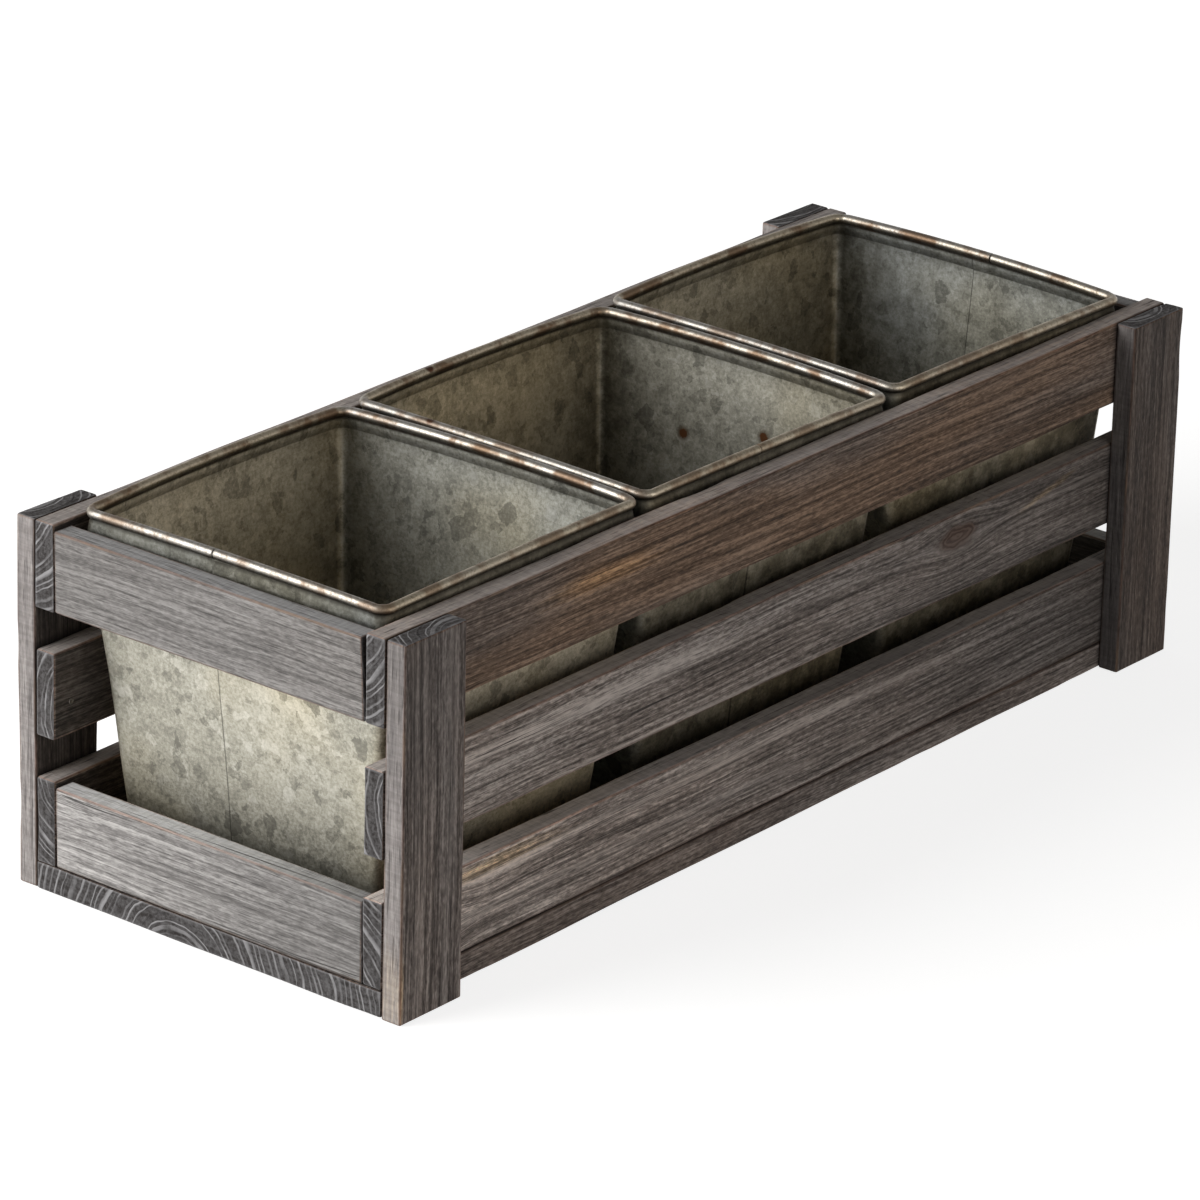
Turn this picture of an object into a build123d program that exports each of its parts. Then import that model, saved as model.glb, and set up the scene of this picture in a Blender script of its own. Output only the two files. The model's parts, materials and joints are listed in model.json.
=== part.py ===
from build123d import *
from math import cos, radians, sin
import os

# A slatted wooden crate that holds a row of square tapered galvanised buckets.
# Millimetres. X runs along the crate, Z is up, and the origin is under the middle of the crate.

# Buckets, from left to right, with the way each lap seam faces and how far each loose bucket
# stands off its place: its turn in degrees, and its slip along X as a share of the gap between buckets
bucket_names = ["left", "middle", "right"]
seam_turns = [0, 90, 180]
bucket_yaws = [0.4, -1.0, -1.3]
bucket_slips = [-0.25, -0.55, -0.35]

# Bucket walls: widths are corner to corner, and the sides bow out past them
rim_width = 125.2
base_width = 101.5
rim_bow = 0.9
base_bow = 0.3
rim_corner = 6.0
base_corner = 3.0
sheet = 0.5
seam_lap = 8.0
seam_shift = 2.3
seam_sink = 0.1

# Rim, rolled inward round a wire, above a small neck in the wall
rim_stand = 5.15
wire_d = 1.4
wire_clear = 0.05
roll_inset = 1.6
roll_neck = 0.5
roll_split = 0.5
roll_step = 25

# Bucket base
base_lift = 4.0
base_clear = 0.05

# Crate stock
row_names = ["bottom", "middle", "top"]
slat_height = 29.5
end_slat_drop = 1.9
slat_thick = 8.0
slat_gap = 14.0
post_width = 29.0
post_thick = 7.8
board_thick = 9.4
edge_ease = 0.6

# Fits
bucket_gap = 2.8
side_clear = 0.7
butt_gap = 0.2

# Brads
brad_d = 1.3
brad_head_d = 2.2
brad_head_thick = 0.7
brad_sink = 0.2
brad_clear = 0.05
post_bite = 5.5
end_bite = 12.0
brad_spread = 13.0
brad_rise = 14.0
bottom_brads = 4

# Sizes that follow from the ones above
roll_r = wire_d / 2 + wire_clear + sheet
bucket_width = rim_width + 2 * rim_bow
pitch = bucket_width + bucket_gap
inner_width = bucket_width + 2 * side_clear
inner_length = len(bucket_names) * pitch
crate_length = inner_length + 2 * slat_thick
crate_width = inner_width + 2 * (slat_thick + post_thick)
board_width = crate_width - 2 * post_thick
row_step = slat_height + slat_gap
top_row = len(row_names) - 1
end_slat_height = slat_height - end_slat_drop
crate_height = board_thick + top_row * row_step + slat_height
bucket_height = crate_height - board_thick + rim_stand
roll_z = bucket_height - roll_r
wall_top = roll_z - roll_r - roll_neck
slat_y = inner_width / 2 + slat_thick / 2
end_x = crate_length / 2 - slat_thick / 2
post_x = crate_length / 2 - post_width / 2
post_y = crate_width / 2 - post_thick / 2

standing = (Align.CENTER, Align.CENTER, Align.MIN)
hanging = (Align.CENTER, Align.CENTER, Align.MAX)
sides = {"front": -1, "back": 1}
ends = {"left": -1, "right": 1}


def slat_bottom(row):
    """Height of the lower edge of a row of slats, counted from the bottom."""
    return board_thick + row * row_step


def plank(x_size, y_size, z_size):
    """A board with eased edges, standing on z = 0."""
    board = Box(x_size, y_size, z_size, align=standing)
    ease = min(edge_ease, 0.2 * min(x_size, y_size, z_size))
    return fillet(board.edges(), ease)


def crate_planks():
    """Every wooden piece by name, in its place and not yet drilled."""
    planks = {}
    post = plank(post_width, post_thick, crate_height)
    long_slat = plank(crate_length, slat_thick, slat_height)
    end_slat = plank(slat_thick, inner_width - 2 * butt_gap, end_slat_height)
    for side_name, side in sides.items():
        for end_name, end in ends.items():
            planks[f"post_{side_name}_{end_name}"] = Pos(end * post_x, side * post_y, 0) * post
        for row, row_name in enumerate(row_names):
            place = Pos(0, side * slat_y, slat_bottom(row))
            planks[f"slat_{side_name}_{row_name}"] = place * long_slat
    for end_name, end in ends.items():
        for row in (0, top_row):
            place = Pos(end * end_x, 0, slat_bottom(row))
            planks[f"end_slat_{end_name}_{row_names[row]}"] = place * end_slat
    planks["bottom_board"] = plank(crate_length, board_width, board_thick)
    return planks


def brad(length, clear=0.0, sink=0.0):
    """A headed brad with its tip down and its head's top at z = 0. Clearance and sink give its hole."""
    shank = Cylinder(brad_d / 2 + clear, length + clear, align=hanging)
    head = Cylinder(brad_head_d / 2 + clear, brad_head_thick + clear + sink, align=hanging)
    return shank + Pos(0, 0, sink) * head


def post_brad_places():
    """Two brads at each crossing of slat and post, driven outward from the slat's inner face."""
    places = []
    y = inner_width / 2 + brad_sink
    for end in ends.values():
        for side in sides.values():
            for row in range(len(row_names)):
                for step in (-1, 1):
                    x = end * (post_x - step * brad_spread / 2)
                    z = slat_bottom(row) + slat_height / 2 + step * brad_rise / 4
                    places.append(Pos(x, side * y, z) * Rot(side * 90, 0, 0))
    return places


def end_brad_places():
    """Two brads at each end of an end slat, driven inward through the long slat."""
    places = []
    y = inner_width / 2 + slat_thick - brad_sink
    for end in ends.values():
        for side in sides.values():
            for row in (0, top_row):
                for step in (-1, 1):
                    z = slat_bottom(row) + end_slat_height / 2 + step * brad_rise / 2
                    places.append(Pos(end * end_x, side * y, z) * Rot(-side * 90, 0, 0))
    return places


def bottom_brad_places():
    """Brads driven up through the bottom board into the long slats and the end slats."""
    places = []
    spacing = (crate_length - 2 * post_width) / bottom_brads
    for side in sides.values():
        for count in range(bottom_brads):
            x = (count - (bottom_brads - 1) / 2) * spacing
            places.append(Pos(x, side * slat_y, brad_sink) * Rot(180, 0, 0))
        for end in ends.values():
            places.append(Pos(end * end_x, side * inner_width / 4, brad_sink) * Rot(180, 0, 0))
    return places


def section(width, bow, corner, z):
    """A level square face with sides that bow outward and rounded corners."""
    half = width / 2
    side = ThreePointArc((-half, -half), (0, -half - bow), (half, -half))
    outline = [Rot(0, 0, 90 * count) * side for count in range(4)]
    face = make_face(outline)
    return Pos(0, 0, z) * fillet(face.vertices(), corner)


def wall_section(z, inset):
    """A slice of a bucket's wall, set in from its outer face, at a height above its foot."""
    share = z / wall_top
    width = base_width + (rim_width - base_width) * share
    bow = base_bow + (rim_bow - base_bow) * share
    corner = base_corner + (rim_corner - base_corner) * share
    return section(width - 2 * inset, bow, corner - inset, z)


def roll_section(angle, side):
    """A slice of the rolled rim at an angle round the roll: side 1 is its outside, -1 its inside."""
    inset = roll_inset - side * roll_r * cos(radians(angle))
    z = roll_z + roll_r * sin(radians(angle))
    return section(rim_width - 2 * inset, rim_bow, rim_corner - inset, z)


def rim_ring(radius):
    """A round bar that follows the middle of the rolled rim."""
    middle = section(rim_width - 2 * roll_inset, rim_bow, rim_corner - roll_inset, roll_z)
    path = middle.face().outer_wire()
    across = Plane(origin=path @ 0, x_dir=(0, 0, 1), z_dir=path % 0)
    return sweep(across * Circle(radius), path=path)


def lap_seam():
    """The raised strip where the ends of the wall sheet overlap, a little off the middle of the -X side."""
    low = base_width / 2 + base_bow
    high = rim_width / 2 + rim_bow
    profile = Polyline(
        (-low - sheet, 0, 0),
        (-high - sheet, 0, wall_top),
        (-high + seam_sink, 0, wall_top),
        (-low + seam_sink, 0, 0),
        close=True,
    )
    strip = extrude(make_face(profile), seam_lap / 2, dir=(0, 1, 0), both=True)
    return Pos(0, seam_shift, 0) * strip


def roll_gap():
    """The space between the ends of the roll, above the lap seam's edge."""
    x = roll_inset - rim_width / 2 - rim_bow
    y = seam_shift + seam_lap / 2
    return Pos(x, y, roll_z) * Box(3 * roll_r, roll_split, 2 * roll_r, align=standing)


def bucket_wall():
    """The wall sheet with its lap seam, its rim rolled round a wire."""
    outside = [wall_section(0, 0), wall_section(wall_top, 0)]
    outside += [roll_section(angle, 1) for angle in range(-2 * roll_step, 4 * roll_step, roll_step)]
    inside = [wall_section(0, sheet), wall_section(wall_top, sheet)]
    inside += [roll_section(angle, -1) for angle in range(-3 * roll_step, 4 * roll_step, roll_step)]
    shell = loft(outside, ruled=True) - loft(inside, ruled=True)
    return shell + lap_seam() - rim_ring(wire_d / 2 + wire_clear) - roll_gap()


def bucket_base():
    """The base plate, with its edge turned down inside the wall's foot."""
    outside = [wall_section(z, sheet + base_clear) for z in (0, base_lift + sheet)]
    under = [wall_section(z, 2 * sheet + base_clear) for z in (0, base_lift)]
    return loft(outside, ruled=True) - loft(under, ruled=True)


def bucket_place(index):
    """Where a bucket stands on the bottom board, and the way its seam faces."""
    x = (index - (len(bucket_names) - 1) / 2) * pitch + bucket_slips[index] * bucket_gap
    turn = seam_turns[index] + bucket_yaws[index]
    return Pos(x, 0, board_thick) * Rot(0, 0, turn)


def write(shape, name):
    export_step(shape, f"parts/{name}.step")


os.makedirs("parts", exist_ok=True)

# Brads and the holes they make
brad_groups = {
    "post_brads": (post_brad_places(), slat_thick + post_bite),
    "end_brads": (end_brad_places(), slat_thick + end_bite),
    "bottom_brads": (bottom_brad_places(), board_thick + end_bite),
}
holes = []
for group, (places, length) in brad_groups.items():
    write(Compound([place * brad(length) for place in places]), group)
    holes += [place * brad(length, brad_clear, brad_sink) for place in places]

# Wooden pieces, each drilled by the brads that reach it
for name, piece in crate_planks().items():
    reach = piece.bounding_box()
    write(piece - [hole for hole in holes if hole.bounding_box().overlaps(reach)], name)

# Buckets
wall = bucket_wall()
base = bucket_base()
wire = rim_ring(wire_d / 2)
for index, name in enumerate(bucket_names):
    place = bucket_place(index)
    write(place * wall, f"bucket_{name}_wall")
    write(place * base, f"bucket_{name}_base")
    write(place * wire, f"bucket_{name}_rim_wire")
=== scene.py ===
import json
import math
import random
from collections import namedtuple

import bmesh
import bpy
import numpy as np
from mathutils import Matrix, Quaternion, Vector


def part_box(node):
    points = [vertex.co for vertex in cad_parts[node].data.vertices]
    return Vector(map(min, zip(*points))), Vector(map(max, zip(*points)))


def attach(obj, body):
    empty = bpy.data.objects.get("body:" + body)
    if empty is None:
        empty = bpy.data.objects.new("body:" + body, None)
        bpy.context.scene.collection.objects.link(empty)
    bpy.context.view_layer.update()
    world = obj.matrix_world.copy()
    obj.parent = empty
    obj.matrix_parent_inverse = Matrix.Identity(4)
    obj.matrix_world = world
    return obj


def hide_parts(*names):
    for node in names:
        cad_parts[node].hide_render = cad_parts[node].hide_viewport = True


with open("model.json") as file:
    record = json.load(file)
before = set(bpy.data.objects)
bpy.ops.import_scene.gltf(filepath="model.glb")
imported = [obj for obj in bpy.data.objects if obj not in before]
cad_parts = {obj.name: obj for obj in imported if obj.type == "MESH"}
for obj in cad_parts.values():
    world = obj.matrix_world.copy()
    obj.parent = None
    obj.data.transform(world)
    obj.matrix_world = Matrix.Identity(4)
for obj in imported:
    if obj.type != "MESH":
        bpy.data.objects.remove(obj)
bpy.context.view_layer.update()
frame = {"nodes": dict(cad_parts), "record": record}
scene = bpy.context.scene

# A slatted crate of weathered boards with three galvanised buckets. Metres, in the frame of the part.
MM = 0.001

# Far from any seam, knot, streak or rust spot
far_off = 1.0

# Camera at the photograph's angle
camera_place = Vector((-1.6735, -1.3342, 0.9331))
camera_aim = Vector((0.0114, 0.0179, 0.0491))
camera_roll = math.radians(1.45)
camera_lens = 210.7

# A large lamp near the left end and a small one in front: place, width, power in watts and colour
lamps = {
    "key": ((-1.22, 0.74, 0.68), 1.3, 28.5, (1.0, 0.99, 0.97)),
    "fill": ((-0.1, -1.4, 0.45), 0.8, 4.6, (1.0, 0.98, 0.96)),
}
lamp_aim = Vector((0.0, 0.0, 0.06))

# Soft surroundings: tint, the way they glow from, and how they grow along it
ambient_tint = (1.0, 0.97, 0.94, 1.0)
ambient_way = (0.68, 0.68, 0.27)
ambient_span = (-0.1, 0.9)
ambient_strength = (0.05, 0.2)

# Background that the camera and the metal see: white, and duller overhead
white = (1.0, 1.0, 1.0, 1.0)
overhead_span = (0.1, 0.7)
overhead_strength = (1.0, 0.3)

# Floor: half its width, its depth below the part, its grey, and how its glow grows away from the part
floor_half = 6.0
floor_drop = 0.2 * MM
floor_grey = (0.5, 0.5, 0.5, 1.0)
floor_span = (0.3, 0.9)
floor_glow = (0.8, 1.0)

# Buckets: the way each seam faces and how far each stands askew, in degrees, its darkening inside, partly
# its own grime and partly painted light falloff from left to right, and how much painted cool light tints
# its inner end walls
buckets = {
    "left": (0, 0.4, 0.08, 0.5),
    "middle": (90, -1.0, 0.34, 0.25),
    "right": (180, -1.3, 0.42, 1.0),
}

# How far the pattern of the zinc moves on from one bucket to the next
pattern_shift = np.array([0.7, 0.3, 0.1])

# Bucket sheet: half widths, bows of the sides and corner radii. The corner widens over the shoulder
rim_half = 62.6 * MM
base_half = 50.75 * MM
rim_bow = 0.9 * MM
base_bow = 0.3 * MM
rim_corner = 6.0 * MM
base_corner = 3.0 * MM
wall_corner = 3.4 * MM
least_corner = 0.6 * MM
shoulder = 16.0 * MM
sheet = 0.5 * MM
dent_depth = 0.35 * MM
dent_waves = (70 * MM, 70 * MM, 60 * MM)

# Rolled rim, which dips towards the corners, the wall that leans in under it and the hem inside
roll_r = 1.65 * MM
roll_inset = 1.75 * MM
roll_neck = 0.5 * MM
roll_degrees = range(-75, 260, 20)
rim_dip = 1.1 * MM
wire_r = 0.7 * MM
wire_sides = 10
neck_in = 1.3 * MM
neck_reach = 8.0 * MM
hem_depth = 3.6 * MM
hem_step = 0.3 * MM

# Heights of the buckets, from the frame
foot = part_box("bucket_left_base")[0].z
bucket_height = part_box("bucket_left_wall")[1].z - foot
roll_z = bucket_height - roll_r
wall_top = roll_z - roll_r - roll_neck

# Grid of the sheet: points along a side, steps round a corner, and rows as shares of the height
side_points = 25
corner_steps = 8
outer_rows = np.array([0, 0.02, *np.linspace(0.08, 0.92, 15)])
inner_rows = np.array([0.94, *np.linspace(0.9, 0.08, 15), 0.02, 0])

# Lap seam: its edge, width and height, the split in the roll and the dark line beside the edge
seam_edge = 6.3 * MM
seam_lap = 8.0 * MM
seam_height = 0.35 * MM
inner_seam_height = 0.8 * sheet
split_half = 0.3 * MM
split_depth = 0.3 * roll_r
seam_shadow = 0.65 * MM

# Gaps between grid lines at the seam, the finest first, and a length that is nearly nothing
lap_step = 0.02 * MM
end_step = 0.03 * MM
sharp_step = 0.05 * MM
blunt_step = 0.2 * MM
end_margin = 0.4 * MM
seam_margin = 1.2 * MM
hair = 0.01 * MM

# Bucket base: height, gap to the wall, bend at its edge, and the insets of its flat edge, slope and dish
base_lift = 4.0 * MM
base_clear = 0.05 * MM
base_bend = 0.5 * MM
bend_cut = 0.15 * MM
base_dish = 0.5 * MM
under_bend = 0.4 * MM
slope_share = 0.6
flat_inset = 3 * MM
slope_inset = 5 * MM
dish_inset = 12 * MM
middle_inset = 25 * MM
hub_inset = 44 * MM

# More rows, each with its painted crease shade last: by height under the rim and in the neck, by depth and
# inset at the hem, and by depth below it. The roll takes painted shade below this share of its radius
strip_rows = [(0.97 * wall_top, 0.3), (wall_top - 1.0 * MM, 0.5), (wall_top, 0.8)]
neck_row = (wall_top + 0.3 * MM, 0.85)
hem_rows = [(0.1 * MM, 0.2 * MM, 0.4), (0.5 * MM, 0.0, 0.1), (1.0 * MM, 0.0, 0.0)]
hem_end_rows = [(0.3 * MM, 0.2), (0.7 * MM, 0.0)]
under_roll = -0.2

# Painted shade as dark lines along the seam: in the split roll, beside the lap's edge and inside along its
# end
split_shade = 1.0
seam_line_shade = 0.6
lap_line_shade = 0.7

# Painted shade on a bucket's inside: in its corners, most in the far one, and towards its foot, with less of
# it on the long sides, and a painted highlight along the sharp folds in the corners
corner_shade = 0.2
corner_start = 0.4
far_corner_shade = 0.32
foot_shade = 0.3
long_side_less_shade = 0.6
fold_sharpness = 30

# On a bucket's outside: darker towards its foot, partly grime and partly painted shade, painted shade in a
# strip under the rim, and painted shade on the long sides behind the slats, by the bucket's own darkening
# and by depth
outer_foot_grime_and_shade = 0.25
strip_shade = 0.75
strip_depth = 0.1
side_shade = 0.85
side_age_and_light_falloff = 3.0
side_foot = 0.2
side_most = 1.2

# Rust spots seen on the middle bucket, in millimetres as if its seam faced left, and how far a spot reaches
rust_spots = {
    "middle": [(22.6, -59.6, 84.9), (-11.0, -60.4, 92.0), (28.8, 61.5, 121.1), (61.0, 26.3, 121.1)],
}
stain_reach = 12 * MM

# Board edges: radius, how much it varies and its limits, and chips, each with the lengths of its waves
edge_ease = 0.9 * MM
edge_spread = 0.25
edge_limits = (0.3 * MM, 2.5 * MM)
edge_waves = (60 * MM, 40 * MM, 40 * MM)
edge_chip = 1.1 * MM
chip_start = 0.9
chip_waves = (45 * MM, 30 * MM, 30 * MM)

# Board faces: swell, grid, the closer grid lines along an edge in radii of it, and the reach of edge wear
# and of the painted shadow at joints
face_swell = 0.25 * MM
face_waves = (90 * MM, 50 * MM, 50 * MM)
grid_step = 2.6 * MM
edge_lines = np.array([2.2, 1.2, 0.7, 0.35, 0.0])
wear_reach = 2.2 * MM
joint_reach = 1.1 * MM

# Grain, wide and thin axis of each kind of board
board_axes = {"post": [2, 0, 1], "slat": [0, 2, 1], "end": [1, 2, 0], "bottom": [0, 1, 2]}

# How greyed and saw-marked the narrow faces of each kind of board are
narrow_shares = {"post": 0.8, "slat": 1.0, "end": 1.0, "bottom": 0.0}

# Pith of a board in millimetres, across its width and thickness from its middle, where its rings show
pith_places = {
    "bottom_board": (12, -14),
    "slat_front_top": (26, 24),
    "slat_front_middle": (3, -26),
    "slat_front_bottom": (-24, 22),
    "slat_back_top": (24, 20),
    "slat_back_middle": (-4, -24),
    "slat_back_bottom": (22, -20),
    "post_front_left": (9, -13),
}

# Other piths lie this many millimetres off a board's middle, and boards start anywhere along so many metres
pith_depths = (14, 30)
grain_length = 40

# Shade at the start and the end of the grain, partly the board's own tone and partly painted light falloff,
# share of brown and share of pale bands, where not the usual
board_tones_and_light_falloff = {
    "slat_front_top": (0.72, 0.62, 1.0, 0.15),
    "slat_front_middle": (1.6, 0.46, 0.15, 0.7),
    "slat_front_bottom": (2.4, 0.3, 0.2, 0.6),
    "post_front_left": (1.15, 0.74, 0.25, 0.4),
    "post_front_right": (0.56, 0.56, 0.45, 0.3),
    "end_slat_left_top": (0.96, 0.84, 0.05, 0.2),
    "end_slat_left_bottom": (0.96, 1.7, 0.0, 0.2),
}
usual_tone = (1.0, 1.0, 0.3, 0.4)
tone_spread = 0.06

# Painted shade on the faces that look into the crate, and painted light on the narrow faces of posts and
# slats
inner_shade = 0.35
post_edge_shade = 1.2
slat_edge_shade = 1.15

# Tan streaks: middle along the grain and across, half length and half width in millimetres, and slope
tan_streaks = {
    "slat_front_bottom": (-150, 11, 48, 4, 0.0),
    "slat_front_middle": (139, 8, 26, 1.9, 0.21),
    "slat_front_top": (-100, 4, 45, 6, 0.0),
    "post_front_left": (-52, -14, 22, 2, 0.0),
}

# Pale bands, given in the same way
pale_bands = {
    "slat_front_middle": (-120, 6, 95, 4, 0.0),
    "slat_front_bottom": (-40, 8, 60, 3, 0.0),
}
no_streak = (far_off / MM, far_off / MM, 10, 10, 0.0)

# Knots in millimetres, along the grain and across the width from a board's middle
knot_places = {
    "slat_front_middle": (88, 6),
    "slat_front_bottom": (-180, -3),
    "slat_back_top": (-120, -4),
    "end_slat_right_top": (25, 5),
    "post_back_right": (-20, 3),
}
no_knot = (far_off / MM, far_off / MM)

# The near end of one end slat is cut short towards its top, over this share of its half length
short_slat = "end_slat_left_top"
short_cut = 1.6 * MM
short_reach = 0.2

# Brads: a head's outline as radius and depth in millimetres, then the shank and its tapered point
brad_sides = 12
head_lift = 0.15 * MM
head_top = [(0.0, 0.12), (0.55, 0.1), (0.8, 0.02), (1.0, 0.0)]
head_side = [(1.1, 0.1), (1.1, 0.55), (0.95, 0.75), (0.65, 0.9)]
shank_r = 0.65 * MM
taper_length = 2.4 * MM
tip_r = 0.12 * MM
tip_length = 0.05 * MM
speck_r = 0.001 * MM

# Dark, middle and pale colour of the wood in each slot
wood_looks = {
    "post_wood": ((0.05, 0.044, 0.042), (0.185, 0.164, 0.155), (0.42, 0.39, 0.375)),
    "slat_wood": ((0.052, 0.045, 0.041), (0.215, 0.189, 0.174), (0.5, 0.46, 0.435)),
    "end_wood": ((0.125, 0.119, 0.116), (0.25, 0.24, 0.235), (0.4, 0.388, 0.38)),
    "board_wood": ((0.048, 0.041, 0.038), (0.195, 0.172, 0.16), (0.44, 0.405, 0.385)),
}
bare_wood = (0.34, 0.235, 0.16)
end_dark = (0.03, 0.026, 0.025)
end_pale = (0.36, 0.355, 0.365)

# Dark, middle and pale zinc, the rim's silver, brass and brown, and the steel of wires and brads
zinc_colours = ((0.2, 0.193, 0.163), (0.43, 0.415, 0.35), (0.66, 0.645, 0.58))
rim_colours = ((0.36, 0.345, 0.32), (0.38, 0.325, 0.24), (0.13, 0.075, 0.04))
wire_colour = (0.45, 0.44, 0.42)
brad_colour = (0.17, 0.16, 0.15)
steel_dirt = (0.12, 0.09, 0.07)
# Painted shade: black in the zinc's creases, and in the rim's split and under its roll
crevice_black = (0.015, 0.013, 0.01)
groove_black = (0.012, 0.01, 0.008)
rust = (0.085, 0.034, 0.013)
rust_halo = (0.07, 0.045, 0.024)
rim_rust = (0.07, 0.03, 0.015)

# Middle value of a noise
noise_middle = 0.5


class Nodes:
    """Short calls that add shader nodes to a material's or the world's tree."""

    def __init__(self, owner):
        owner.use_nodes = True
        self.owner = owner
        self.tree = owner.node_tree
        self.tree.nodes.clear()

    def add(self, kind, inputs=(), out=0, **settings):
        """Adds a node, with values or other nodes' outputs as inputs, and gives one of its outputs."""
        node = self.tree.nodes.new("ShaderNode" + kind)
        for key, value in settings.items():
            setattr(node, key, value)
        for key, value in dict(inputs).items():
            if isinstance(value, bpy.types.NodeSocket):
                self.tree.links.new(value, node.inputs[key])
            else:
                node.inputs[key].default_value = value
        return node.outputs[out] if len(node.outputs) else node

    def attribute(self, name, out="Vector"):
        return self.add("Attribute", attribute_name=name, out=out)

    def math(self, operation, a, b=0.0, c=0.0):
        return self.add("Math", {0: a, 1: b, 2: c}, operation=operation)

    def product(self, a, b):
        return self.math("MULTIPLY", a, b)

    def total(self, *parts, start=0.0):
        """Adds each value times its share to a start."""
        for value, share in parts:
            start = self.math("MULTIPLY_ADD", value, share, start)
        return start

    def vector(self, operation, a, b=(0.0, 0.0, 0.0), out=0):
        return self.add("VectorMath", {0: a, 1: b}, operation=operation, out=out)

    def length(self, vector):
        return self.vector("LENGTH", vector, out="Value")

    def scaled(self, vector, factor):
        return self.add("VectorMath", {0: vector, "Scale": factor}, operation="SCALE")

    def split(self, vector):
        """The three numbers of a vector."""
        return self.add("SeparateXYZ", {0: vector}).node.outputs[:]

    def noise(self, vector, fineness, detail=2.0, roughness=0.5, out=0):
        """Noise with a fineness in waves per metre, for all axes or one for each."""
        if isinstance(fineness, float):
            fineness = (fineness, fineness, fineness)
        stretched = self.vector("MULTIPLY", vector, fineness)
        inputs = {"Vector": stretched, "Scale": 1.0, "Detail": detail, "Roughness": roughness}
        return self.add("TexNoise", inputs, out=out)

    def fibres(self, grain, along, across, detail=2.0, roughness=0.5):
        """Noise with one fineness along a board's grain and another across it."""
        return self.noise(grain, (along, across, across), detail, roughness)

    def shifts(self, noise):
        """A colour noise as vectors to every side."""
        return self.vector("SUBTRACT", noise, (noise_middle, noise_middle, noise_middle))

    def hairs(self, noise, outer, inner, share=1.0):
        """Thin lines where a noise passes its middle value."""
        gap = self.math("ABSOLUTE", self.math("SUBTRACT", noise, noise_middle))
        return self.span(gap, outer, inner, 0.0, share)

    def cells(self, vector, size):
        """Three random numbers for each cell of a ragged pattern."""
        return self.split(self.add("TexVoronoi", {"Vector": vector, "Scale": 1 / size}, out="Color"))

    def span(self, value, low, high, to_low=0.0, to_high=1.0):
        """Maps low to high onto another range, smoothly and with no overshoot."""
        inputs = {"Value": value, 1: low, 2: high, 3: to_low, 4: to_high}
        return self.add("MapRange", inputs, interpolation_type="SMOOTHSTEP")

    def ramp(self, value, *colours):
        """Colours at even steps along a value from 0 to 1."""
        output = self.add("ValToRGB", {"Fac": value})
        band = output.node.color_ramp.elements
        while len(band) < len(colours):
            band.new(0.5)
        for index, colour in enumerate(colours):
            band[index].position = index / (len(colours) - 1)
            band[index].color = (*colour, 1.0)
        return output

    def mix(self, factor, a, b, blend="MIX"):
        """Two colours mixed, each a socket or three numbers."""
        inputs = {0: factor}
        for key, colour in ((6, a), (7, b)):
            inputs[key] = colour if isinstance(colour, bpy.types.NodeSocket) else (*colour, 1.0)
        return self.add("Mix", inputs, data_type="RGBA", blend_type=blend, out=2)

    def tint(self, factor, colour, shares):
        """A colour with its three numbers multiplied, as far as a factor says."""
        return self.mix(factor, colour, self.mix(1.0, colour, shares, "MULTIPLY"))

    def bump(self, height, distance, strength):
        return self.add("Bump", {"Height": height, "Distance": distance, "Strength": strength})

    def surface(self, **inputs):
        """Gives the material a Principled surface. Underscores stand for spaces in the names of inputs."""
        named = {key.replace("_", " "): value for key, value in inputs.items()}
        shader = self.add("BsdfPrincipled", named)
        self.add("OutputMaterial", {"Surface": shader})
        return self.owner


def times(colour, shares):
    """A colour with each of its three numbers multiplied."""
    return tuple(number * share for number, share in zip(colour, shares))


def grain_path(n, grain, knot, knot_gap):
    """Places in the grain, whose fibres wander and part round a knot."""
    wander = n.shifts(n.noise(grain, (6.0, 30.0, 30.0), out="Color"))
    wander = n.vector("MULTIPLY", wander, (0.0, 7 * MM, 7 * MM))
    near_knot = n.span(knot_gap, 15 * MM, 2 * MM)
    parting = n.vector("MULTIPLY", n.scaled(knot, near_knot), (0.0, -0.7, 0.0))
    return n.vector("ADD", n.vector("ADD", grain, wander), parting)


def pith_gap(n, path):
    """How far each place in the grain is from the pith."""
    return n.length(n.vector("MULTIPLY", path, (0.0, 1.0, 1.0)))


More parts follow.
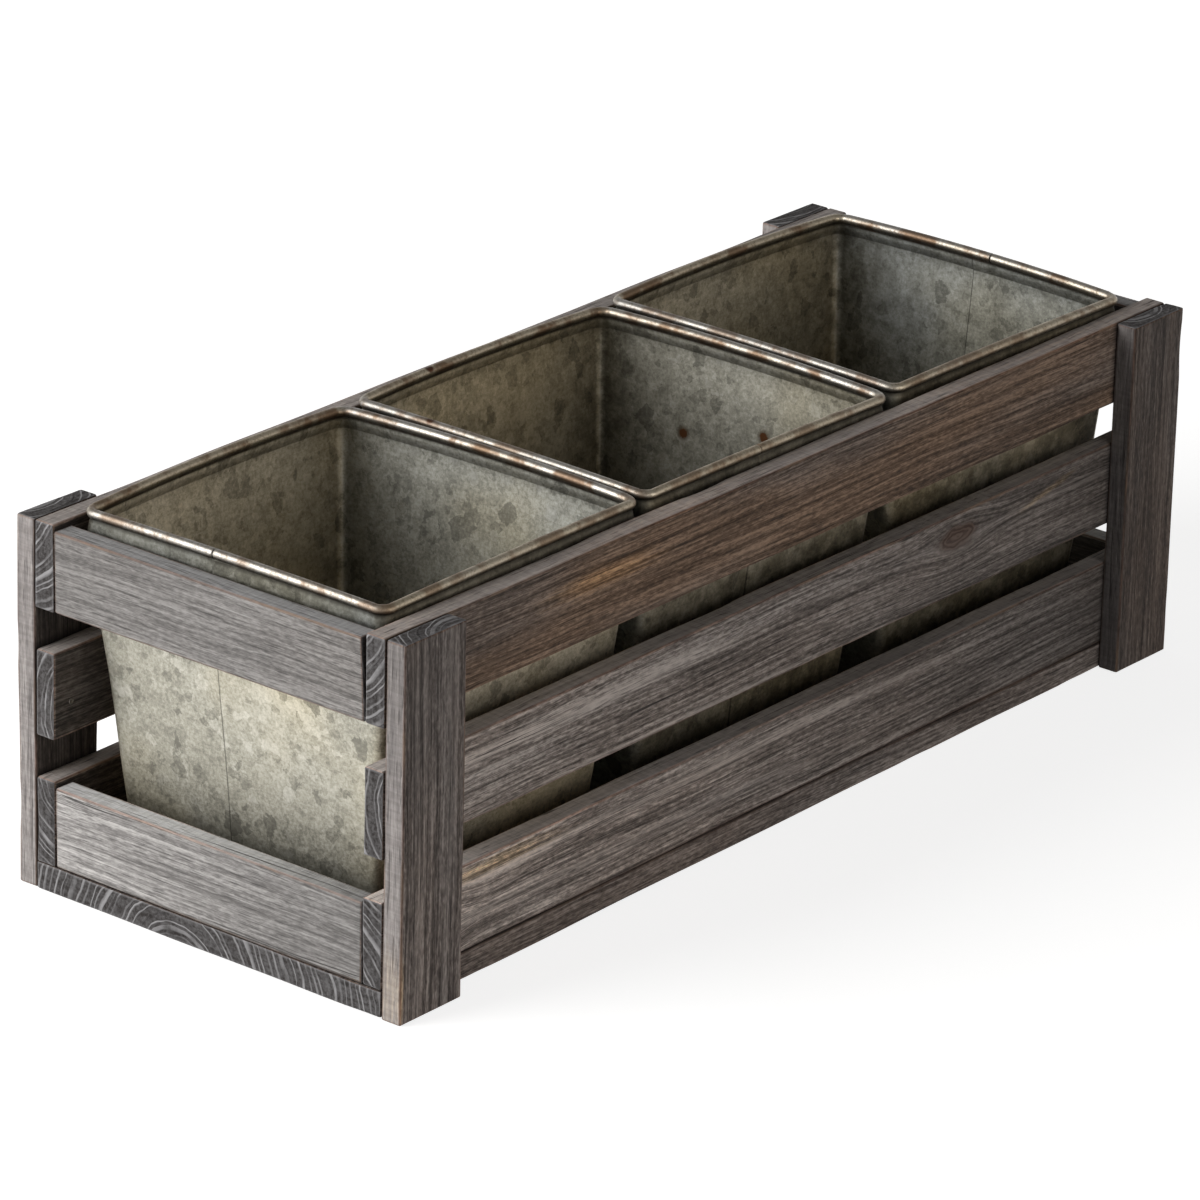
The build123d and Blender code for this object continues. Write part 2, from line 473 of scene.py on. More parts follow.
def long_grain(name, dark, middle, pale):
    """Weathered wood along its fibres, with streaks, checks, knots, saw marks and rubbed edges."""
    n = Nodes(bpy.data.materials.new(name))
    grain = n.attribute("grain")
    shade, brown_share, band_share = n.split(n.attribute("tone_and_painted_light"))
    edge, narrow, joint = n.split(n.attribute("wear_and_painted_light"))
    knot = n.attribute("knot")
    knot_gap = n.length(n.vector("MULTIPLY", knot, (0.45, 1.0, 1.0)))
    path = grain_path(n, grain, knot, knot_gap)
    ring_width = 3.1 * MM
    ring = n.math("FRACT", n.product(pith_gap(n, path), 1 / ring_width))
    late = n.product(n.span(ring, 0.35, 0.85), n.span(ring, 1.0, 0.9))

    # Fibres, streaks and clouds from dark to pale
    fibre = n.fibres(path, 8.0, 620.0, 3.0, 0.85)
    thread = n.fibres(path, 45.0, 1100.0, 1.0, 0.6)
    streak = n.fibres(path, 3.5, 190.0)
    cloud = n.fibres(path, 5.0, 55.0)
    grit = n.fibres(grain, 300.0, 1000.0, 2.0, 0.7)
    saw = n.fibres(grain, 1000.0, 45.0)
    value = n.total((thread, 0.5), (fibre, 1.5), (streak, 0.25), (cloud, 0.6), (grit, 1.0))
    value = n.total((late, -0.1), (saw, 0.03), start=value)
    colour = n.ramp(n.span(value, 1.5, 2.4), dark, middle, pale)

    # Thin dark and pale hairs
    dark_hair = n.hairs(n.fibres(path, 6.0, 420.0, 1.0, 0.4), 0.03, 0.006, 0.3)
    colour = n.mix(dark_hair, colour, dark)
    pale_hair = n.hairs(n.fibres(path, 8.0, 540.0, 1.0, 0.4), 0.025, 0.006, 0.25)
    colour = n.mix(pale_hair, colour, pale)

    # Pale bands, placed and loose
    band = n.span(n.total((streak, 1.2), start=n.length(n.attribute("pale"))), 1.7, 0.9)
    loose = n.span(n.fibres(path, 1.8, 140.0, 1.0, 0.4), 0.56, 0.7)
    band = n.math("MAXIMUM", band, n.product(loose, band_share))
    colour = n.mix(n.product(band, n.span(fibre, 0.35, 0.6, 0.1, 0.7)), colour, pale)

    # Brown patches and tan streaks
    patch = n.span(n.fibres(grain, 9.0, 45.0), 0.3, 0.7)
    brown = n.product(n.total((patch, 0.6), start=0.4), brown_share)
    colour = n.tint(brown, colour, (1.35, 1.0, 0.74))
    tan = n.span(n.total((thread, 0.9), start=n.length(n.attribute("tan"))), 1.35, 0.6)
    colour = n.tint(tan, colour, (1.75, 1.55, 1.2))

    # Greyed saw marks on narrow faces, then the board's shade: its own tone with painted light falloff along
    # it, painted shade inside the crate and painted light on narrow faces
    sawn_dark = times(middle, (1.4, 1.46, 1.52))
    sawn_pale = times(middle, (1.75, 1.84, 1.92))
    sawn = n.mix(n.span(saw, 0.35, 0.65), sawn_dark, sawn_pale)
    colour = n.mix(n.product(narrow, 0.7), colour, sawn)
    colour = n.mix(1.0, colour, n.add("CombineXYZ", {0: shade, 1: shade, 2: shade}), "MULTIPLY")

    # Checks here and there, and pores
    check = n.hairs(n.fibres(path, 3.0, 330.0), 0.016, 0.004)
    sparse = n.span(n.fibres(grain, 8.0, 90.0), 0.56, 0.64)
    pore = n.span(n.fibres(path, 95.0, 1700.0, 1.0), 0.6, 0.7)
    groove = n.math("MAXIMUM", n.product(check, sparse), n.product(pore, 0.6))
    colour = n.mix(n.product(groove, 0.85), colour, times(dark, (0.5, 0.5, 0.5)))

    # Knots with rings and an uneven outline
    uneven = n.math("SUBTRACT", n.fibres(grain, 110.0, 190.0), noise_middle)
    knot_gap = n.total((uneven, 6 * MM), start=knot_gap)
    knot_ring_width = 1.6 * MM
    knot_ring = n.math("SINE", n.product(knot_gap, 2 * math.pi / knot_ring_width))
    knot_dark = times(middle, (0.24, 0.15, 0.12))
    knot_pale = times(middle, (0.62, 0.48, 0.4))
    knot_tone = n.mix(n.span(knot_ring, -0.8, 1.0), knot_dark, knot_pale)
    heart = n.span(knot_gap, 6.0 * MM, 2.6 * MM)
    colour = n.mix(n.product(heart, 0.92), colour, knot_tone)

    # Dark and rubbed edges, and painted shadow in the joints
    arris = n.product(n.span(edge, 0.55, 0.9), n.span(cloud, 0.3, 0.6, 0.3, 0.9))
    colour = n.tint(arris, colour, (0.8, 0.6, 0.52))
    rub = n.fibres(grain, 45.0, 300.0, 3.0, 0.6)
    worn = n.product(n.span(rub, 0.5, 0.62), n.span(edge, 0.5, 0.95))
    colour = n.mix(n.product(worn, 0.4), colour, bare_wood)
    colour = n.mix(n.product(joint, 0.85), colour, times(dark, (0.25, 0.25, 0.25)))

    height = n.total((thread, 0.5), (fibre, 1.1), (late, 0.2), (grit, 0.6), (groove, -0.7))
    height = n.total((n.product(saw, narrow), 0.3), start=height)
    return n.surface(
        Base_Color=colour,
        Roughness=n.span(fibre, 0.25, 0.75, 0.92, 0.7),
        Specular_IOR_Level=0.25,
        Normal=n.bump(height, 0.4 * MM, 0.7),
    )


def end_grain(name):
    """Sawn end of a board: dark open grain with pale late-wood arcs."""
    n = Nodes(bpy.data.materials.new(name))
    grain = n.attribute("grain")
    edge = n.split(n.attribute("wear_and_painted_light"))[0]
    wander = n.scaled(n.shifts(n.noise(grain, 90.0, out="Color")), 3.2 * MM)
    ring_width = 2.5 * MM
    year = n.product(pith_gap(n, n.vector("ADD", grain, wander)), 1 / ring_width)
    pace = n.noise(n.add("CombineXYZ", {0: year}), (0.55, 1.0, 1.0), 1.0)
    year = n.total((pace, 2.6), start=year)
    ring = n.math("FRACT", year)
    late = n.product(n.span(ring, 0.5, 0.72), n.span(ring, 1.0, 0.9))
    this_year = n.add("CombineXYZ", {0: n.math("FLOOR", year)})
    bold = n.span(n.noise(this_year, (0.83, 1.0, 1.0), 0.0), 0.3, 0.62)
    fade = n.span(n.noise(grain, 140.0), 0.3, 0.55)
    pore = n.noise(grain, 900.0, 3.0, 0.65)
    saw = n.noise(grain, (300.0, 60.0, 700.0))
    line = n.product(n.product(late, bold), n.total((fade, 0.7), start=0.3))
    value = n.total((saw, 0.35), (pore, 0.5))
    ground = n.mix(n.span(value, 0.28, 0.62), end_dark, n.mix(0.3, end_dark, end_pale))
    colour = n.mix(n.product(line, 0.85), ground, end_pale)
    colour = n.mix(n.product(n.span(edge, 0.5, 1.0), 0.35), colour, end_pale)
    return n.surface(
        Base_Color=colour,
        Roughness=n.span(pore, 0.2, 0.8, 0.95, 0.78),
        Specular_IOR_Level=0.2,
        Normal=n.bump(n.total((pore, 0.8), (late, 0.6)), 0.4 * MM, 0.7),
    )


def galvanised(name, dark, middle, pale):
    """Aged galvanised sheet: dull zinc with specks, ragged grains, grime and rust spots, and painted shade,
    highlights and light colour.
    """
    n = Nodes(bpy.data.materials.new(name))
    place = n.attribute("sheet")
    crevice, fold, run = n.split(n.attribute("wear_and_painted_light"))
    stain = n.length(n.attribute("stain"))

    # Ragged grains of several sizes, specks, brush marks and clouds
    ragged = n.scaled(n.shifts(n.noise(place, 420.0, 2.0, 0.55, "Color")), 3.0 * MM)
    bent = n.vector("ADD", place, ragged)
    tall = n.vector("MULTIPLY", bent, (1.0, 1.0, 0.75))
    leaf = n.span(n.cells(tall, 4.8 * MM)[0], 0.86, 1.0)
    small_leaf = n.span(n.cells(bent, 2.9 * MM)[0], 0.8, 1.0)
    leaf = n.math("MAXIMUM", leaf, n.product(small_leaf, 0.7))
    flake = n.span(n.cells(bent, 3.6 * MM)[1], 0.84, 0.97)
    spangle = n.cells(bent, 3.0 * MM)[2]
    speck = n.noise(place, 850.0, 3.0, 0.75)
    brush = n.noise(place, (200.0, 200.0, 1500.0), 2.0, 0.6)
    cloud = n.noise(place, 17.0)
    value = n.total((brush, 0.2), (speck, 0.95), (cloud, 0.5), (spangle, 0.14), (leaf, -0.27), (flake, 0.15))
    # Painted highlight along the folds in the inner corners
    value = n.total((n.product(fold, speck), 0.6), start=value)
    colour = n.ramp(n.span(value, 0.4, 1.36), dark, middle, pale)

    # Warm clouds, then painted light colour: warmer on the long sides and cooler on the end walls
    warm = n.span(n.noise(place, 13.0), 0.4, 0.65)
    colour = n.tint(warm, colour, (1.06, 1.0, 0.88))
    colour = n.tint(run, colour, (1.3, 1.2, 1.08))
    colour = n.tint(n.attribute("cool", "Fac"), colour, (0.9, 0.97, 1.1))

    # Mottled grime and painted shade, rust spots, and painted shade in creases as dark lines
    mottle = n.span(n.noise(place, 150.0, 3.0, 0.65), 0.35, 0.65, 0.7, 1.1)
    grime_and_shade = n.product(n.attribute("grime_and_shade", "Fac"), mottle)
    colour = n.tint(grime_and_shade, colour, (0.3, 0.29, 0.26))
    halo = n.product(n.span(stain, 3.4 * MM, 1.6 * MM), 0.7)
    colour = n.mix(halo, colour, rust_halo)
    spot = n.span(n.total((speck, 1.2 * MM), start=stain), 2.5 * MM, 1.9 * MM)
    colour = n.mix(spot, colour, rust)
    # Painted shade in creases, as dark lines
    colour = n.mix(crevice, colour, crevice_black)
    height = n.total((cloud, 0.6), (speck, 0.3), (brush, 0.15))
    return n.surface(
        Base_Color=colour,
        Metallic=0.88,
        Roughness=n.total((flake, -0.08), (speck, 0.22), start=0.42),
        Normal=n.bump(height, 0.12 * MM, 0.6),
    )


def rolled_rim(name, silver, brass, brown):
    """Rolled rim rubbed bright, brassy in patches and with a painted warm reflection on its long runs, with
    brown tarnish and painted shade in its split and under the roll.
    """
    n = Nodes(bpy.data.materials.new(name))
    place = n.attribute("sheet")
    crevice, fold, run = n.split(n.attribute("wear_and_painted_light"))
    side = n.attribute("roll", "Fac")
    stain = n.length(n.attribute("stain"))
    rub = n.noise(place, 95.0, 3.0, 0.6)
    speck = n.noise(place, 1100.0, 2.0, 0.7)
    drift = n.noise(place, 24.0)
    # Brass in patches, and a painted warm reflection on the long runs
    brass_and_reflection = n.total((side, 0.15), (drift, 0.8), (run, 0.42))
    colour = n.mix(n.span(brass_and_reflection, 0.35, 0.85), silver, brass)
    colour = n.tint(n.span(speck, 0.45, 0.75), colour, (0.55, 0.52, 0.48))
    tarnish = n.product(n.span(rub, 0.44, 0.62), n.span(side, 0.0, 0.6, 0.75, 1.0))
    colour = n.mix(n.product(tarnish, 0.85), colour, brown)
    colour = n.mix(n.span(stain, 2.2 * MM, 1.0 * MM), colour, rim_rust)
    # Painted shade in the split and under the roll
    colour = n.mix(crevice, colour, groove_black)
    return n.surface(
        Base_Color=colour,
        Metallic=0.95,
        Roughness=n.total((rub, 0.35), (speck, 0.16), start=0.2),
        Normal=n.bump(n.total((speck, 0.4), start=rub), 0.12 * MM, 0.6),
    )


def bright_steel(name, colour):
    """Drawn steel with fine marks along it and dull specks."""
    n = Nodes(bpy.data.materials.new(name))
    place = n.add("TexCoord", out="Object")
    mark = n.noise(place, (1800.0, 1800.0, 400.0), 3.0, 0.6)
    dull = n.noise(place, 500.0, 2.0, 0.6)
    return n.surface(
        Base_Color=n.mix(n.span(dull, 0.45, 0.7), colour, n.mix(0.5, colour, steel_dirt)),
        Metallic=1.0,
        Roughness=n.total((mark, 0.3), start=0.2),
        Normal=n.bump(mark, 0.05 * MM, 0.5),
    )


def swell(draw, points, lengths, waves=7):
    """Smooth random swell, mostly between -1 and 1, with a wavelength along each axis."""
    total = np.zeros(len(points))
    for _ in range(waves):
        turn = np.array([draw.uniform(-1, 1) * 2 * math.pi / length for length in lengths])
        total += np.sin(points @ turn + draw.uniform(0, 2 * math.pi))
    return total / math.sqrt(waves)


def make_piece(name, points, faces, materials, face_materials=0, attributes=()):
    """A smooth-shaded mesh object. Attributes are one number or one vector for each point."""
    mesh = bpy.data.meshes.new(name)
    mesh.from_pydata(points.tolist(), [], faces)
    for material in materials:
        mesh.materials.append(material)
    mesh.polygons.foreach_set("material_index", np.full(len(faces), face_materials, np.int32))
    mesh.polygons.foreach_set("use_smooth", np.ones(len(faces), bool))
    for key, values in dict(attributes).items():
        values = np.asarray(values, np.float32)
        kind, field = ("FLOAT", "value") if values.ndim == 1 else ("FLOAT_VECTOR", "vector")
        mesh.attributes.new(key, kind, "POINT").data.foreach_set(field, values.ravel())
    turned = bmesh.new()
    turned.from_mesh(mesh)
    bmesh.ops.recalc_face_normals(turned, faces=turned.faces)
    turned.to_mesh(mesh)
    turned.free()
    piece = bpy.data.objects.new(name, mesh)
    scene.collection.objects.link(piece)
    return piece


def grid_quads(ids):
    """Quads over a grid of point numbers, row by row."""
    corners = [ids[:-1, :-1], ids[1:, :-1], ids[1:, 1:], ids[:-1, 1:]]
    return np.stack(corners, -1).reshape(-1, 4).tolist()


def closed(ids):
    """A grid of point numbers with its first column again at the end."""
    return np.column_stack([ids, ids[:, :1]])


def grid_lines(half):
    """Grid lines across a board, closer together along its eased edges."""
    rim = half - edge_ease * edge_lines
    count = max(2, round(2 * rim[0] / grid_step))
    return np.concatenate([-rim[::-1], np.linspace(-rim[0], rim[0], count + 1)[1:-1], rim])


def board_grid(half):
    """Surface points and quads of a box, and which quads are its ends along the first axis."""
    lines = [grid_lines(h) for h in half]
    counts = [len(line) for line in lines]
    index = np.stack(np.meshgrid(*[np.arange(c) for c in counts], indexing="ij"), -1)
    shell = np.any((index == 0) | (index == np.array(counts) - 1), axis=-1)
    ids = np.full(counts, -1)
    ids[shell] = np.arange(shell.sum())
    points = np.stack([lines[axis][index[..., axis][shell]] for axis in range(3)], -1)
    quads = []
    ends = []
    for axis in range(3):
        for side in (0, -1):
            face = grid_quads(np.take(ids, side, axis))
            quads += face
            ends += [int(axis == 0)] * len(face)
    return points, quads, ends


def ease_edges(draw, points, half):
    """Rounds a board's edges by a varied radius, with a few chips, and swells its faces."""
    chip = np.clip(swell(draw, points, chip_waves) - chip_start, 0, 1)
    vary = 1 - edge_spread + edge_spread * swell(draw, points, edge_waves)
    radius = np.clip(edge_ease * vary + edge_chip * chip, *edge_limits)[:, None]
    core = np.clip(points, -(half - radius), half - radius)
    out = points - core
    length = np.maximum(np.linalg.norm(out, axis=1, keepdims=True), 1e-9)
    eased = core + out * np.minimum(1.0, radius / length)
    for axis in (1, 2):
        for side in (-1, 1):
            wave = np.clip(swell(draw, points, face_waves), -1, 1)
            hollow = face_swell * (1 + wave) / 2
            share = np.clip(side * points[:, axis] / half[axis], 0, 1)
            eased[:, axis] -= side * hollow * share
    return eased


def joint_gap(points, others):
    """How far each point of a board is from the nearest of the other boards."""
    gaps = [points - np.clip(points, *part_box(other)) for other in others]
    return np.linalg.norm(gaps, axis=2).min(axis=0)


def streak_way(local, streak):
    """From the middle of a streak to each point, with its edge at a length of 1."""
    *sizes, slope = streak
    along, across, half_length, half_width = np.array(sizes) * MM
    way = local - (along, across, 0)
    way[:, 1] -= slope * way[:, 0]
    return way * (1 / half_length, 1 / half_width, 0)


def random_pith(draw, half_width):
    """A pith across a board's width and off the middle of its thickness."""
    across = draw.uniform(-1, 1) * half_width
    side = draw.choice((-1, 1))
    return across, side * draw.uniform(*pith_depths) * MM


def board(node, others, materials):
    """A board in place of a CAD board, with its grain along its length."""
    kind = node.split("_")[0]
    axes = board_axes[kind]
    low, high = (np.array(corner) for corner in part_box(node))
    middle = (low + high) / 2
    half = ((high - low) / 2)[axes]
    draw = random.Random(node)
    local, quads, ends = board_grid(half)
    face_gap = half - np.abs(local)
    edge_gap = np.sort(face_gap, axis=1)[:, 1]
    thin_face = face_gap[:, 1] < face_gap[:, 2]
    eased = ease_edges(draw, local, half)
    if node == short_slat:
        near_end = np.clip(-eased[:, 0] / half[0] - (1 - short_reach), 0, 1) / short_reach
        eased[:, 0] += short_cut * near_end * (eased[:, 1] / half[1] + 1) / 2
    points = np.zeros_like(eased)
    points[:, axes] = eased
    points += middle

    pith = np.array(pith_places[node]) * MM if node in pith_places else random_pith(draw, half[1])
    start = np.array([draw.uniform(0, grain_length), -pith[0], -pith[1]])
    # Shade along the grain: partly the board's own tone, partly painted light falloff from end to end
    start_shade, end_shade, brown, band = board_tones_and_light_falloff.get(node, usual_tone)
    along = (local[:, 0] / half[0] + 1) / 2
    shade = start_shade + (end_shade - start_shade) * along + draw.uniform(-tone_spread, tone_spread)
    # Painted shade on the faces that look into the crate
    inward = 1.0 if kind == "bottom" else -np.sign(middle[axes[2]])
    inner = (inward * local[:, 2] > half[2] - edge_ease / 2) & (edge_gap > edge_ease)
    shade[inner] *= inner_shade
    brown_share = np.full_like(shade, brown)
    # Painted light on the narrow faces of posts and slats
    if kind == "post":
        shade[thin_face] *= post_edge_shade
        brown_share[thin_face] = 0.0
    if kind == "slat":
        shade[thin_face] = np.maximum(shade[thin_face], slat_edge_shade)

    edge = np.clip(1 - edge_gap / wear_reach, 0, 1)
    # Painted contact shadow where a board meets another
    joint = np.clip(1 - joint_gap(points, others) / joint_reach, 0, 1)
    knot = np.array([*knot_places.get(node, no_knot), 0]) * MM
    attributes = {
        "grain": local + start,
        "tone_and_painted_light": np.column_stack([shade, brown_share, np.full_like(shade, band)]),
        "wear_and_painted_light": np.column_stack([edge, thin_face * narrow_shares[kind], joint]),
        "knot": (local - knot) * (1, 1, 0),
        "tan": streak_way(local, tan_streaks.get(node, no_streak)),
        "pale": streak_way(local, pale_bands.get(node, no_streak)),
    }
    return make_piece(node + "_wood", points, quads, materials, ends, attributes)


def wall_shape(z):
    """Half width, bow and corner radius of a bucket's outer face at a height above its foot."""
    share = z / wall_top
    half = base_half + (rim_half - base_half) * share
    bow = base_bow + (rim_bow - base_bow) * share
    low_corner = base_corner + (wall_corner - base_corner) * share
    near_rim = np.clip((z - wall_top + shoulder) / shoulder, 0, 1) ** 2
    return half, bow, low_corner + (rim_corner - low_corner) * near_rim


def side_stations(with_seam):
    """Places along a bucket's side, as a share of its straight length and a distance added to it."""
    stations = [(share, 0.0) for share in np.linspace(-1, 1, side_points)]
    if with_seam:
        steps = [-seam_margin, -seam_shadow - sharp_step, -seam_shadow, seam_margin]
        for way in (-1, 1):
            steps += [way * (split_half + gap) for gap in (0.0, sharp_step, blunt_step)]
            steps += [way * lap_step, seam_lap + way * end_step, seam_lap + way * end_margin]
        stations += [(0.0, step - seam_edge) for step in steps]
    return sorted(stations, key=lambda station: station[0] * base_half + station[1])


# Points round a bucket's section and their ways out, with each one's share of the way along its side, side,
# distance from the side's middle, and share of the turn at a corner
Loop = namedtuple("Loop", "points normals share side along bend")


def bucket_loop(half, bow, corner, with_seam=True):
    """Once round a bucket's section, with bowed sides and round corners."""
    rows = []
    straight = half - corner
    for side in range(4):
        turn = side * math.pi / 2
        out = np.array([-math.cos(turn), -math.sin(turn)])
        along = np.array([math.sin(turn), -math.cos(turn)])
        for share, extra in side_stations(with_seam and side == 0):
            s = share * straight + extra
            point = out * (half + bow * (1 - (s / straight) ** 2)) + along * s
            normal = out + along * (2 * bow * s / straight**2)
            rows.append((*point, *(normal / np.linalg.norm(normal)), s / half, side, s, 0.0))
        centre = out * straight + along * straight
        for count in range(1, corner_steps):
            bend = count / corner_steps
            normal = out * math.cos(bend * math.pi / 2) + along * math.sin(bend * math.pi / 2)
            rows.append((*(centre + normal * corner), *normal, 1.0, side, far_off, bend))
    table = np.array(rows)
    return Loop(table[:, :2], table[:, 2:4], *table[:, 4:].T)


def placed(points, place):
    """Points of a bucket, moved to where it stands."""
    return points @ np.array(place.to_3x3()).T + np.array(place.translation)


def lean_in(z):
    """How far a bucket's wall leans in at a height above its foot."""
    return neck_in * np.clip(1 - (wall_top - z) / neck_reach, 0, 1) ** 2


def sheet_profile():
    """Rows of the sheet from its outer foot over the rim to its inner foot: inset, height, part, painted
    crease shade.
    """
    outside = [(z, 0.0) for z in wall_top * outer_rows] + strip_rows
    rows = [(lean_in(z), z, "outside", crease_shade) for z, crease_shade in outside]
    neck_z, neck_shade = neck_row
    rows.append((neck_in, neck_z, "neck", neck_shade))
    for degrees in roll_degrees:
        a = math.radians(degrees)
        # Painted shade under the roll
        crease_shade = np.clip(under_roll - math.sin(a), 0, 1)
        rows.append((roll_inset - roll_r * math.cos(a), roll_z + roll_r * math.sin(a), "roll", crease_shade))
    hem = neck_in + sheet + hem_step
    hem_end = wall_top - hem_depth
    rows += [(hem + inset, wall_top - depth, "inside", crease_shade) for depth, inset, crease_shade in hem_rows]
    rows.append((lean_in(hem_end) + sheet + hem_step, hem_end, "inside", 0.0))
    inside = [(hem_end - depth, crease_shade) for depth, crease_shade in hem_end_rows]
    inside += [(z, 0.0) for z in wall_top * inner_rows]
    rows += [(lean_in(z) + sheet, z, "inside", crease_shade) for z, crease_shade in inside]
    return rows


def seam_raise(part, past_seam):
    """How far the lap seam lifts the sheet: a step at one edge that fades over the lap."""
    within = (past_seam > 0) & (past_seam < seam_lap)
    if part in ("outside", "neck"):
        return np.where(within, seam_height * (1 - past_seam / seam_lap), 0.0)
    if part == "inside":
        return np.where(within, -inner_seam_height * past_seam / seam_lap, 0.0)
    return np.zeros_like(past_seam)


def ring_points(loop, past_seam, inset, z, part):
    """Points of one row of a bucket's wall, with its seam, its split roll and the dip of its rim."""
    lift = seam_raise(part, past_seam)
    points = np.column_stack([loop.points + loop.normals * lift[:, None], np.full(len(lift), z)])
    if part == "roll":
        split = (np.abs(past_seam) < split_half + hair) & (z > roll_z - split_depth)
        shrink = np.where(split, wire_r / roll_r, 1.0)
        points[:, :2] += loop.normals * ((roll_inset - inset) * (shrink - 1))[:, None]
        points[:, 2] = roll_z + (z - roll_z) * shrink
    points[:, 2] -= rim_dip * np.abs(loop.share) ** 2 * np.clip(z / roll_z, 0, 1) ** 6
    return points


def ring_marks(loop, past_seam, place, half, row, age_and_light_falloff, chill):
    """Marks on one row of a bucket's wall: share of the roll, painted shade in creases, painted fold
    highlight, side for painted light colour, grime with painted shade, and painted coolness.
    """
    inset, z, part, crease_shade = row
    count = len(past_seam)
    # Which way each side faces in the crate: 1 on the long sides, 0 on the end walls, for painted light
    # colour and shade
    quarter_turns = round(place.to_euler().z / (math.pi / 2))
    run = (loop.side + quarter_turns) % 2
    run = run + (1 - 2 * run) * loop.bend
    depth = 1 - np.clip(z / wall_top, 0, 1)
    strip = depth < strip_depth
    roll = np.zeros(count)
    crevice = np.full(count, crease_shade)
    fold = np.zeros(count)
    # Outside: darker towards the foot, partly grime and partly painted shade, painted shade in the strip
    # under the rim and on the long sides behind the slats
    side_share = np.clip(side_age_and_light_falloff * age_and_light_falloff + side_foot * depth, 0, side_most)
    grime_and_shade = np.maximum(outer_foot_grime_and_shade * depth**3 + strip_shade * strip, side_shade * run * side_share)
    # Painted cool reflection on the strip under the rim of the end walls
    cool = strip * (1 - run)
    if part == "roll":
        roll += np.clip((inset - roll_inset) / roll_r, 0, 1)
        # Painted shade in the split of the roll
        crevice[np.abs(past_seam) < split_half + hair] = split_shade
    elif part == "inside":
        # Painted highlight along the folds in the inner corners
        fold = np.sin(math.pi * loop.bend) ** fold_sharpness
        # Painted shade along the lap's end inside
        crevice[np.abs(past_seam - seam_lap) < sharp_step] = lap_line_shade
        # Inside: painted shade in the corners, most in the far one, and towards the foot, less on the long
        # sides, over the bucket's own darkening
        corner_share = np.clip((np.abs(loop.share) - corner_start) / (1 - corner_start), 0, 1)
        turned = loop.points @ np.array(place.to_3x3())[:2, :2].T
        far_share = np.clip(turned.sum(axis=1) / (2 * half), 0, 1)
        grime_and_shade = corner_shade * corner_share**1.5 + foot_shade * depth**1.3 + age_and_light_falloff
        grime_and_shade = grime_and_shade * (1 - long_side_less_shade * run) + far_corner_shade * (1 + run) * far_share**2
        # Painted cool light on the inner end walls
        cool = chill * (1 - run)
    else:
        # Painted shadow beside the lap's edge outside
        crevice[(past_seam < 0) & (past_seam > -seam_shadow - hair)] = seam_line_shade
    return roll, np.column_stack([crevice, fold, run]), np.clip(grime_and_shade, 0, 1), cool


def bucket_wall(name, place, offset, age_and_light_falloff, chill, stains, materials):
    """A bucket's wall sheet with its rolled rim, lap seam and shallow dents."""
    draw = random.Random(name)
    profile = sheet_profile()
    rings = []
    for row in profile:
        inset, z, part = row[:3]
        half, bow, corner = wall_shape(min(z, wall_top))
        loop = bucket_loop(half - inset, bow, max(corner - inset, least_corner))
        past_seam = np.where(loop.side == 0, loop.along + seam_edge, far_off)
        points = ring_points(loop, past_seam, inset, z, part)
        rings.append((points, loop.normals, *ring_marks(loop, past_seam, place, half, row, age_and_light_falloff, chill)))
    points, normals, roll, wear_and_painted_light, grime_and_shade, cool = (np.concatenate(column) for column in zip(*rings))
    height = np.clip(points[:, 2] / roll_z, 0, 1)
    dent = dent_depth * swell(draw, points, dent_waves) * np.sin(np.pi * height) ** 2
    points[:, :2] += normals * dent[:, None]
    ids = closed(np.arange(len(points)).reshape(len(profile), -1))
    quads = grid_quads(np.vstack([ids, ids[:1]]))
    ring_materials = [int(row[2] == "roll") for row in profile]
    face_materials = np.repeat(ring_materials, len(quads) // len(profile))
    attributes = {"sheet": points + offset, "roll": roll, "wear_and_painted_light": wear_and_painted_light, "grime_and_shade": grime_and_shade, "cool": cool}
    attributes["stain"] = nearest_stain(points, stains)
    return make_piece(name, placed(points, place), quads, materials, face_materials, attributes)


def nearest_stain(points, stains):
    """From the nearest rust spot to each point, or a long way where none is near."""
    if not stains:
        return np.full_like(points, far_off)
    gaps = np.stack([points - np.array(stain) * MM for stain in stains])
    nearest = np.linalg.norm(gaps, axis=2).argmin(axis=0)
    way = gaps[nearest, np.arange(len(points))]
    way[np.linalg.norm(way, axis=1) > stain_reach] = far_off
    return way


